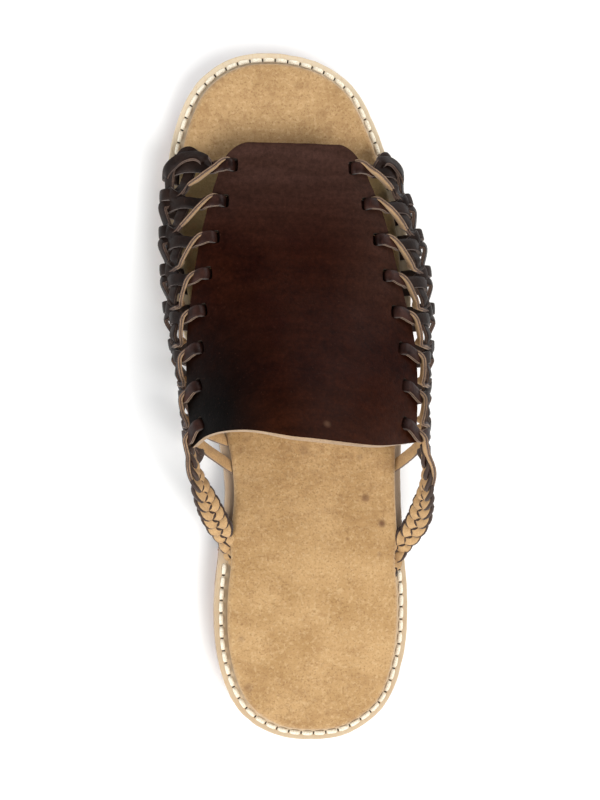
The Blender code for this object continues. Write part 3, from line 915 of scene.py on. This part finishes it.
def add_stitch(bm, centre, run, base, seed):
    """One thread stitch: a plump bead that dives into a hole at each end."""
    side = Vector((-run.y, run.x))
    long_half = STITCH_LONG / 2 * (1 + 0.05 * wander(seed, 1))
    turn = 0.07 * wander(seed, 2)
    run = (run + side * turn).normalized()
    side = Vector((-run.y, run.x))
    rings = []
    for a in (-1, -0.93, -0.8, -0.5, 0, 0.5, 0.8, 0.93, 1):
        end = abs(a) ** 6
        up = 0.42 * (1 - abs(a) ** 4) - 0.5 * end
        wide = STITCH_WIDE / 2 * (1 - 0.42 * abs(a) ** 5)
        tall = 0.46 * (1 - 0.3 * end)
        middle = centre + run * (a * long_half)
        z = base + rise(middle.y) + up
        ring = []
        for k in range(8):
            turned = 2 * math.pi * k / 8
            p = middle + side * (wide * math.cos(turned))
            ring.append(bm.verts.new((p.x, p.y, z + tall * math.sin(turned))))
        rings.append(ring)
    join_rings(bm, rings)


def add_hole(bm, centre, run, base):
    """A dark slit between two stitches."""
    side = Vector((-run.y, run.x))
    ring = []
    for k in range(10):
        turned = 2 * math.pi * k / 10
        p = centre + side * (0.72 * math.cos(turned)) + run * (0.26 * math.sin(turned))
        ring.append(bm.verts.new((p.x, p.y, base + rise(p.y) + 0.03)))
    bm.faces.new(ring)


seam = stitch_line()
stitches = bmesh.new()
holes = bmesh.new()
for i, (point, run) in enumerate(seam):
    if SEAM_HIDDEN[0] < point.y < SEAM_HIDDEN[1]:
        continue
    ahead = seam[(i + 1) % len(seam)][0]
    add_stitch(stitches, (point + ahead) / 2, (ahead - point).normalized(), mid_top - 0.05, i)
    add_hole(holes, point, run, mid_top - 0.1)
bmesh.ops.recalc_face_normals(stitches, faces=stitches.faces[:])
finish_mesh("sole_stitches", stitches, [THREAD], 60)
finish_mesh("needle_holes", holes, [HOLE])


# ---------------------------------------------------------------- vamp
# Soft troughs, under 0, and ridges: ends of the crease, half width and height.
CREASES = [
    (-26, 58, 20, 64, 6.0, -0.30), (-22, 66, 16, 71, 5.0, 0.22), (-30, 30, -6, 38, 7.0, -0.25),
    (4, 36, 30, 26, 7.0, -0.28), (-34, 8, -14, 20, 6.0, 0.25), (10, 12, 34, 4, 6.0, 0.22),
    (-12, 86, 10, 87, 4.0, -0.15), (-33, -8, -20, -2, 5.0, -0.3), (22, -8, 34, -13, 5.0, -0.25),
]


def crease_lift(x, y):
    """Height of the listed creases at a place on the vamp."""
    total = 0.0
    here = Vector((x, y))
    for x0, y0, x1, y1, half, height in CREASES:
        a = Vector((x0, y0))
        b = Vector((x1, y1))
        t = max(0.0, min(1.0, (here - a).dot(b - a) / (b - a).length_squared))
        away = (here - a.lerp(b, t)).length / half
        total += height * math.exp(-away * away)
    return total


def bar_dip(y, inward_mm):
    """Trough that each lace presses into the vamp between its slot and the edge."""
    if inward_mm > 14:
        return 0.0
    total = 0.0
    for j in range(SLOTS):
        slant = tilt(j) * PITCH * (1 - min(1.0, inward_mm / SLOT_IN))
        away = (y - (SLOT_Y - PITCH * j - slant)) / 3.0
        total += math.exp(-away * away)
    fade = ease((13 - inward_mm) / 5)
    return (0.12 - 0.42 * min(1.0, total)) * fade


def vamp_mesh():
    """Dense sheet through the middle of the vamp leather."""
    bm = bmesh.new()
    columns = 150
    lines = 110
    grid = []
    for k in range(columns + 1):
        c = math.sin(math.pi / 2 * (2 * k / columns - 1))
        side = -1 if c < 0 else 1
        start = half_arch(side, VAMP_FRONT)
        half_width = abs(start[3].x - start[0].x)
        near = max(0.0, VAMP_CORNER - (1 - abs(c)) * half_width)
        front = VAMP_FRONT - VAMP_CORNER + math.sqrt(VAMP_CORNER ** 2 - near ** 2)
        front += 0.25 * wander(3, c * 2)
        rear = along(VAMP_REAR, c)[0] + 0.2 * wander(5, c * 3)
        column = []
        for r in range(lines + 1):
            y = front + (rear - front) * r / lines
            curve = half_arch(side, y)
            kept = 1 - trim(side, y) / (3 * (curve[3] - curve[2]).length)
            p = bezier(curve, abs(c) * kept)
            from_edge = (curve[3] - p).length
            lumps = 0.22 * noise.noise(Vector((p.x * 0.04, p.y * 0.04, 1.7)))
            p.z += crease_lift(p.x, p.y) + lumps + bar_dip(y, from_edge)
            column.append(bm.verts.new(p))
        grid.append(column)
    for a, b in zip(grid, grid[1:]):
        for r in range(lines):
            bm.faces.new((a[r], b[r], b[r + 1], a[r + 1]))
    bmesh.ops.recalc_face_normals(bm, faces=bm.faces[:])
    if sum(face.normal.z for face in bm.faces) < 0:
        bmesh.ops.reverse_faces(bm, faces=bm.faces[:])
    return bm


def slot_cutters():
    """All the lacing slots as one cutter."""
    bm = bmesh.new()
    for side in (-1, 1):
        for j in range(SLOTS):
            deep = slot_in(side, j)
            point, back, fall, normal = sheet_frame(side, SLOT_Y - PITCH * j, -deep / SHEET_UNIT)
            run = (fall * deep + back * (tilt(j) * PITCH)).normalized()
            across = normal.cross(run).normalized()
            rings = []
            for lift in (-3, 3):
                ring = []
                for k in range(12):
                    a = 2 * math.pi * k / 12
                    u = math.copysign(abs(math.cos(a)) ** 0.5, math.cos(a)) * SLOT_WIDE / 2
                    v = math.copysign(abs(math.sin(a)) ** 0.5, math.sin(a)) * SLOT_LONG / 2
                    ring.append(bm.verts.new(point + normal * lift + run * (u - SLOT_SHIFT)
                                             + across * v))
                rings.append(ring)
            join_rings(bm, rings)
            bm.faces.new(rings[0])
            bm.faces.new(list(reversed(rings[1])))
    bmesh.ops.recalc_face_normals(bm, faces=bm.faces[:])
    return bm


vamp = finish_mesh("vamp_leather_sheet", vamp_mesh(), [VAMP_TOP, UNDERSIDE, VAMP_CUT, HOLE])
shell = vamp.modifiers.new("leather", "SOLIDIFY")
shell.thickness = VAMP * MM
shell.offset = 0
shell.use_even_offset = True
shell.material_offset = 1
shell.material_offset_rim = 2
soften = vamp.modifiers.new("worn_edge", "BEVEL")
soften.limit_method = "ANGLE"
soften.angle_limit = math.radians(60)
soften.width = 0.28 * MM
soften.segments = 2
cutter = mesh_object("slot_tool", slot_cutters(), [HOLE])
cut = vamp.modifiers.new("slots", "BOOLEAN")
cut.operation = "DIFFERENCE"
cut.solver = "EXACT"
cut.object = cutter
bpy.context.view_layer.update()
solid = bpy.data.meshes.new_from_object(vamp.evaluated_get(bpy.context.evaluated_depsgraph_get()))
vamp.modifiers.clear()
vamp.data = solid
solid.set_sharp_from_angle(angle=math.radians(42))
bpy.data.objects.remove(cutter)
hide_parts("vamp")


# ---------------------------------------------------------------- laces
FACE_LOOK, CUT_LOOK, CORE_AND_SHADE_LOOK, FLESH_LOOK, SHADED_WALL_FACE_LOOK, SHADED_CUT_LOOK = range(6)
LACE_MATERIALS = [FACE, CUT, CORE_AND_SHADE, FLESH, SHADED_WALL_FACE, SHADED_CUT]
# Section of a strip: place across and through, in halves, and what the next stretch is made of.
SECTION = [
    (-0.90, 1.00, FACE_LOOK), (-0.5, 1.12, FACE_LOOK), (0, 1.16, FACE_LOOK),
    (0.5, 1.12, FACE_LOOK), (0.90, 1.00, FACE_LOOK), (1.0, 0.78, CUT_LOOK),
    (1.0, 0.28, CORE_AND_SHADE_LOOK), (1.0, -0.28, CUT_LOOK), (1.0, -0.78, FLESH_LOOK),
    (0.86, -1.0, FLESH_LOOK), (0, -1.10, FLESH_LOOK), (-0.86, -1.0, FLESH_LOOK),
    (-1.0, -0.78, CUT_LOOK), (-1.0, -0.28, CORE_AND_SHADE_LOOK), (-1.0, 0.28, CUT_LOOK),
    (-1.0, 0.78, FACE_LOOK),
]
# On the plait the edges and the suede side's rounded rims are dark: painted shade between the
# plaited strips.
PLAIT_SECTION = [
    (-0.90, 1.00, FACE_LOOK), (0, 1.12, FACE_LOOK), (0.90, 1.00, FACE_LOOK),
    (1.0, 0.7, CORE_AND_SHADE_LOOK), (1.0, 0.1, CORE_AND_SHADE_LOOK), (1.0, -0.45, CORE_AND_SHADE_LOOK),
    (0.68, -0.98, FLESH_LOOK), (0.3, -1.12, FLESH_LOOK), (-0.3, -1.12, FLESH_LOOK),
    (-0.68, -0.98, CORE_AND_SHADE_LOOK), (-1.0, -0.45, CORE_AND_SHADE_LOOK), (-1.0, 0.1, CORE_AND_SHADE_LOOK),
    (-1.0, 0.7, FACE_LOOK),
]
# Painted shade on the wall: the face and cut edges take darker copies, and the suede side the dark
# core look.
WALL_SHADE_LOOK = {FACE_LOOK: SHADED_WALL_FACE_LOOK, CUT_LOOK: SHADED_CUT_LOOK, FLESH_LOOK: CORE_AND_SHADE_LOOK}


def sweep(bm, spots, seed, wide=LACE_WIDE, thick=LACE_THICK, section=SECTION, shaded_end=0):
    """Add a flat strip along (point, facing, on the wall) spots; painted shade darkens it on the
    wall and all round near its end.
    """
    rings = []
    across = None
    sign = None
    for i, (point, normal, _) in enumerate(spots):
        run = heading(spots, i).normalized()
        flat = run - normal * run.dot(normal)
        if flat.length > 0.4 or across is None:
            turned = normal.cross(flat).normalized()
            if across is not None and turned.dot(across) < 0:
                turned = -turned
            across = turned if across is None else across.lerp(turned, 0.6).normalized()
        across = (across - run * across.dot(run)).normalized()
        deep = run.cross(across).normalized()
        if sign is None:
            sign = 1 if deep.dot(normal) > 0 else -1
        deep *= sign
        half_wide = wide / 2 * (1 + 0.05 * wander(seed, i * 0.13))
        half_thick = thick / 2 * (1 + 0.06 * wander(seed + 40, i * 0.11))
        rings.append([bm.verts.new(point + across * (u * half_wide) + deep * (v * half_thick))
                      for u, v, _ in section])
    count = len(section)
    for i, (a, b) in enumerate(zip(rings, rings[1:])):
        for c in range(count):
            d = (c + 1) % count
            face = bm.faces.new((a[c], a[d], b[d], b[c]))
            look = section[c][2]
            # Painted shade: the last steps before the slot go dark all round, and stretches down on
            # the wall take their shaded looks.
            if i >= len(rings) - 1 - shaded_end:
                look = CORE_AND_SHADE_LOOK if look != FACE_LOOK else FACE_LOOK
            elif spots[i][2]:
                look = WALL_SHADE_LOOK.get(look, look)
            face.material_index = look
    bm.faces.new(rings[0]).material_index = CORE_AND_SHADE_LOOK
    bm.faces.new(rings[-1]).material_index = CORE_AND_SHADE_LOOK


def lace_spots(side, controls, steps, wall_from=0.14):
    """Places along a lace, as (point, facing, whether it is down on the wall).

    Controls are pitches heelward, sheet depth, lift, and how far the strip stands on its edge:
    at 0 it lies on the sheet, and at 1 its outer face is upright and turned out and to the toe.
    """
    path = smooth_path(controls, steps)
    places = []
    for k, d, lift, _ in path:
        point, _, _, normal = sheet_frame(side, SLOT_Y - PITCH * k, d)
        places.append((point + normal * lift, normal))
    spots = []
    for i, (point, normal) in enumerate(places):
        run = heading(places, i)
        upright = Vector((run.y, -run.x, 0)).normalized()
        if upright.dot(Vector((side, 1, 0))) < 0:
            upright = -upright
        turned = math.radians(90 * max(0.0, min(1.0, path[i][3])))
        facing = (normal * math.cos(turned) + upright * math.sin(turned)).normalized()
        spots.append((point, facing, path[i][1] > wall_from))
    return spots


def cross_legs(side, j):
    """One lace in two legs, each from the sole to slot j.

    The front leg turns over the vamp's edge as the bar to the slot. The rear leg runs up outside
    it, on edge, and goes under the vamp in front of the bar. The last one joins the plait.
    """
    seed = j + (30 if side > 0 else 10)
    lean = tilt(j)
    base = j + lean + 0.03 * wander(seed, 1)
    slide = min(1.0, 0.64 + 0.14 * j)
    inner = slot_in(side, j) / SHEET_UNIT
    hug = 1 - 0.35 * ease((j - 1) / 3)
    edge = trim(side, SLOT_Y - PITCH * j) / SHEET_UNIT
    bend = LOOP / SHEET_UNIT
    loop = LOOP * (1 + 0.05 * wander(seed, 3))

    def front(d):
        """Place of the front leg, from under the vamp's edge to the sole."""
        d = min(d, 1 + 0.3 * max(0.0, d - 1))
        swept = 0.92 * max(0.0, (d - 0.25) / 0.75) ** 2 if j == SLOTS - 1 else 0.0
        return base - 0.09 + 0.17 * d + swept + 0.05 * wander(seed, 2 + d)

    def rear(d):
        """Place of the rear leg, from the rows to the sole."""
        d = min(d, 1.0)
        swept = 0.56 * max(0.0, (d - 0.25) / 0.75) ** 2 if j == SLOTS - 2 else 0.0
        return base + 0.64 + 0.06 * d + swept + 0.04 * wander(seed, 6 + d)

    feet = (1.3, 1.13, 1.06, 1.0, 0.82)
    up = [(front(d), d, 0, 0) for d in feet]
    up += [
        (front(OUTER_ROW), OUTER_ROW, -UNDER, 0), (front(INNER_ROW), INNER_ROW, OVER, 0),
        (base + 0.02, 0.16 - edge, 0.2, 0), (base + 0.01, 0.05 - edge, 1.3, 0),
        (base, -0.04 - edge, loop, 0),
        (j + lean * bend / inner, -inner + bend, loop, 0),
        (j + lean * 0.3 * bend / inner, -inner + 0.29 * bend, loop * 0.71, 0),
        (j, -inner, 0, 0), (j, -inner + 0.1 * bend, -1.0, 0),
    ]
    down = [(rear(d), d, 0, 0) for d in feet]
    down += [(rear(OUTER_ROW), OUTER_ROW, OUTER_OVER, 0), (rear(0.45), 0.45, 0.2, 0.3),
             (base + 0.68 * slide, 0.32 * hug, -0.4, 0.9),
             (base + 0.52 * slide, 0.22 * hug, 0.9, 1.0)]
    if j == SLOTS - 1:
        down = [(base + 1.7, 0.36, 0.6, 0.6), (base + 1.4, 0.28, 1.6, 0.9),
                (base + 1.05, 0.21, 2.3, 1.0), (base + 0.75, 0.16, 2.2, 1.0),
                (base + 0.48, 0.13, 1.7, 1.0)]
    down += [
        (base + 0.27 * slide, 0.13 * hug - edge / 2, 2.3, 1.0),
        (base + 0.04, 0.06 - edge, 2.6, 1.0),
        (base - 0.12, 0.01 - edge, 1.5, 1.0), (base - 0.20, -0.04 - edge, -0.6, 0.7),
        (base - 0.16, -0.09 - edge, -loop - 0.8, 0),
        (j - 0.04, -inner + bend * 0.7, -loop - 0.3, 0),
        (j - 0.04, -inner - 1.6 / SHEET_UNIT, -loop, 0),
        (j - 0.04, -inner - 2.4 / SHEET_UNIT, -loop, 0),
    ]
    return up, down


def long_controls(first_inner):
    """One of the two lengthwise laces, changing rows between slots."""
    if first_inner:
        points = [(-0.08, 0.50, 0.1), (-0.27, 0.46, 0), (-0.39, 0.42, 0.4),
                  (-0.43, 0.37, 0.7), (-0.39, 0.33, 0.4), (-0.27, 0.30, 0),
                  (-0.03, INNER_ROW, -UNDER)]
    else:
        points = [(-0.24, OUTER_ROW - 0.08, 0.1), (0.02, OUTER_ROW - 0.04, OUTER_OVER - 0.4)]
    inner = first_inner
    for n in range(SLOTS):
        if inner:
            points += [(n + 0.40, INNER_ROW, OVER),
                       (n + 0.55, 0.37, 0), (n + 0.71, 0.46, -UNDER), (n + 0.87, 0.55, 0.2),
                       (n + 1.02, OUTER_ROW, OUTER_OVER)]
        else:
            points += [(n + 0.45, OUTER_ROW, -UNDER),
                       (n + 0.58, 0.55, 0), (n + 0.71, 0.46, OVER), (n + 0.84, 0.37, 0),
                       (n + 0.96, INNER_ROW, -UNDER)]
        inner = not inner
    points = points[:-3] + [(SLOTS - 0.25, 0.36, 0), (SLOTS + 0.15, 0.28, 0)]
    seed = 81 + first_inner
    return [(k + tilt(k), d + 0.03 * wander(seed, k), lift + 0.4 * wander(seed + 5, k), 0)
            for k, d, lift in points]


# The end of a lace knotted round the front of the two rows.
KNOT = [
    (0.16, 0.12, -0.9, 0), (-0.04, 0.14, 0.2, 0.3), (-0.20, 0.20, 1.4, 0.4),
    (-0.30, 0.29, 2.0, 0.4), (-0.27, 0.40, 2.2, 0.2), (-0.12, 0.50, 2.1, 0),
    (0.04, 0.58, 1.4, 0), (0.15, 0.62, 0.1, 0), (0.18, 0.54, -1.0, 0),
]


PLAIT_STRANDS = 3
PLAIT_REPEAT = 13.5
PLAIT_SWAY = 2.25
PLAIT_OVER = 1.15
PLAIT_WIDE = 4.3
PLAIT_THICK = 1.6
PLAIT_LEAN = {-1: 62, 1: 34}

def plait_spine(side):
    """Middle line of the plait, as places along a lace."""
    reach = [(0, 0.32), (0.12, 0.26), (0.28, 0.25), (0.41, 0.31), (0.575, 0.46), (0.71, 0.66),
             (0.82, 0.88), (0.92, 1.02), (1.02, 1.08), (1.11, 1.14)]
    start, end = PLAIT_ENDS[side]
    controls = [(start + (end - start) * f, d, 0, 0) for f, d in reach]
    return lace_spots(side, controls, 12)


def plait(bm, side):
    """Three strips plaited flat, from the vamp's rear corner down to the sole."""
    spine = plait_spine(side)
    lengths = running_length([point for point, _, _ in spine])
    for strand in range(PLAIT_STRANDS):
        spots = []
        for i, (point, normal, _) in enumerate(spine):
            run = heading(spine, i).normalized()
            share = lengths[i] / lengths[-1]
            lean = math.radians(PLAIT_LEAN[side]) * ease(share * 2.2)
            outward = (normal - run * normal.dot(run)).normalized()
            across = outward.cross(run).normalized()
            if across.z < 0:
                across = -across
            tipped = outward * math.cos(lean) - across * math.sin(lean)
            wide = across * math.cos(lean) + outward * math.sin(lean)
            phase = 2 * math.pi * (lengths[i] / PLAIT_REPEAT + strand / PLAIT_STRANDS)
            squeeze = 0.78 + 0.37 * ease((share - 0.2) / 0.35) - 0.6 * ease((share - 0.8) / 0.2)
            spots.append((point + wide * (PLAIT_SWAY * math.sin(phase) * squeeze)
                          + tipped * (PLAIT_OVER * math.sin(2 * phase) * squeeze), tipped, False))
        sweep(bm, spots, 60 + strand, PLAIT_WIDE, PLAIT_THICK, PLAIT_SECTION)


LACE_STEPS = 5
# Depth from which a leg takes the painted shade of the wall, and its steps of painted shade at the
# slot.
WALL_SHADE_FROM = 0.05
REAR_WALL_SHADE_FROM = 0.30
NEVER = 9
BAR_END_SHADE = 13
REAR_END_SHADE = 15

for side, hand in ((-1, "medial"), (1, "lateral")):
    strips = bmesh.new()
    for j in range(SLOTS):
        up, down = cross_legs(side, j)
        inside = NEVER if j == SLOTS - 1 else WALL_SHADE_FROM
        behind = NEVER if j == SLOTS - 2 else REAR_WALL_SHADE_FROM
        sweep(strips, lace_spots(side, up, LACE_STEPS, inside), j, shaded_end=BAR_END_SHADE)
        sweep(strips, lace_spots(side, down, LACE_STEPS, behind), j + 50, shaded_end=REAR_END_SHADE)
    sweep(strips, lace_spots(side, KNOT, LACE_STEPS), 90)
    for k, first_inner in enumerate((True, False)):
        sweep(strips, lace_spots(side, long_controls(first_inner), LACE_STEPS), 20 + k)
    bmesh.ops.recalc_face_normals(strips, faces=strips.faces[:])
    laces = finish_mesh("laces_" + hand, strips, LACE_MATERIALS)
    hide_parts("woven_side_" + hand)
    braid = bmesh.new()
    plait(braid, side)
    bmesh.ops.recalc_face_normals(braid, faces=braid.faces[:])
    finish_mesh("plait_" + hand, braid, LACE_MATERIALS)


# ---------------------------------------------------------------- floor, lights and camera
def floor_paper():
    """Matte white paper."""
    made, shader, at = material("floor_paper", 0.9)
    shader.inputs["Specular IOR Level"].default_value = 0.0
    tone = clouds(at, 180, 2)
    colour_of(shader, ramp(tone, [(0.3, (0.93, 0.935, 0.935)), (0.7, (0.95, 0.95, 0.95))]))
    return made


FLOOR_HALF = 3000
floor_bm = bmesh.new()
bmesh.ops.create_grid(floor_bm, x_segments=8, y_segments=8, size=FLOOR_HALF)
floor = mesh_object("floor", floor_bm, [floor_paper()])


def soft_light(name, stand, target, size, power, colour):
    """A square area light aimed at a point, in metres."""
    data = bpy.data.lights.new(name, "AREA")
    data.shape = "SQUARE"
    data.size = size
    data.energy = power
    data.color = colour
    lamp = place(name, data)
    lamp.location = stand
    aim = Vector(target) - Vector(stand)
    lamp.rotation_euler = aim.to_track_quat("-Z", "Y").to_euler()


soft_light("key", (0.62, -0.85, 1.65), (0, 0, 0), 1.1, 36.0, (1.0, 0.985, 0.96))
soft_light("fill", (-1.5, -0.5, 0.9), (0, 0, 0), 1.2, 22.0, (0.96, 0.98, 1.0))
soft_light("far", (0.9, 1.3, 0.7), (0, 0.02, 0), 1.2, 14.0, (0.96, 0.98, 1.0))

world = bpy.data.worlds.new("studio")
bpy.context.scene.world = world
world.use_nodes = True
sky_tree = world.node_tree
sky = sky_tree.nodes["Background"]
sky_place = sky_tree.nodes.new("ShaderNodeTexCoord")
sky_up = sky_tree.nodes.new("ShaderNodeSeparateXYZ")
sky_tree.links.new(sky_place.outputs["Generated"], sky_up.inputs[0])
sky_tree.links.new(ramp(sky_up.outputs["Z"], [(0.25, (0.92, 0.96, 1.0)), (0.75, 0.30)]),
                   sky.inputs["Color"])
sky.inputs["Strength"].default_value = 0.75
bpy.context.scene.view_settings.view_transform = "Standard"

CAMERA_AT = Vector((-48.6, -2.9, 418)) * MM
CAMERA_TO = Vector((2.0, -0.5, 12)) * MM
camera_data = bpy.data.cameras.new("camera")
camera_data.sensor_width = 36
camera_data.lens = 49.0
camera_data.clip_start = 0.01
camera = place("camera", camera_data)
view_axis = (CAMERA_TO - CAMERA_AT).normalized()
right = view_axis.cross(Vector((0, 1, 0))).normalized()
up = right.cross(view_axis)
camera.matrix_world = Matrix((
    (right.x, up.x, -view_axis.x, CAMERA_AT.x),
    (right.y, up.y, -view_axis.y, CAMERA_AT.y),
    (right.z, up.z, -view_axis.z, CAMERA_AT.z),
    (0, 0, 0, 1),
))
bpy.context.scene.camera = camera
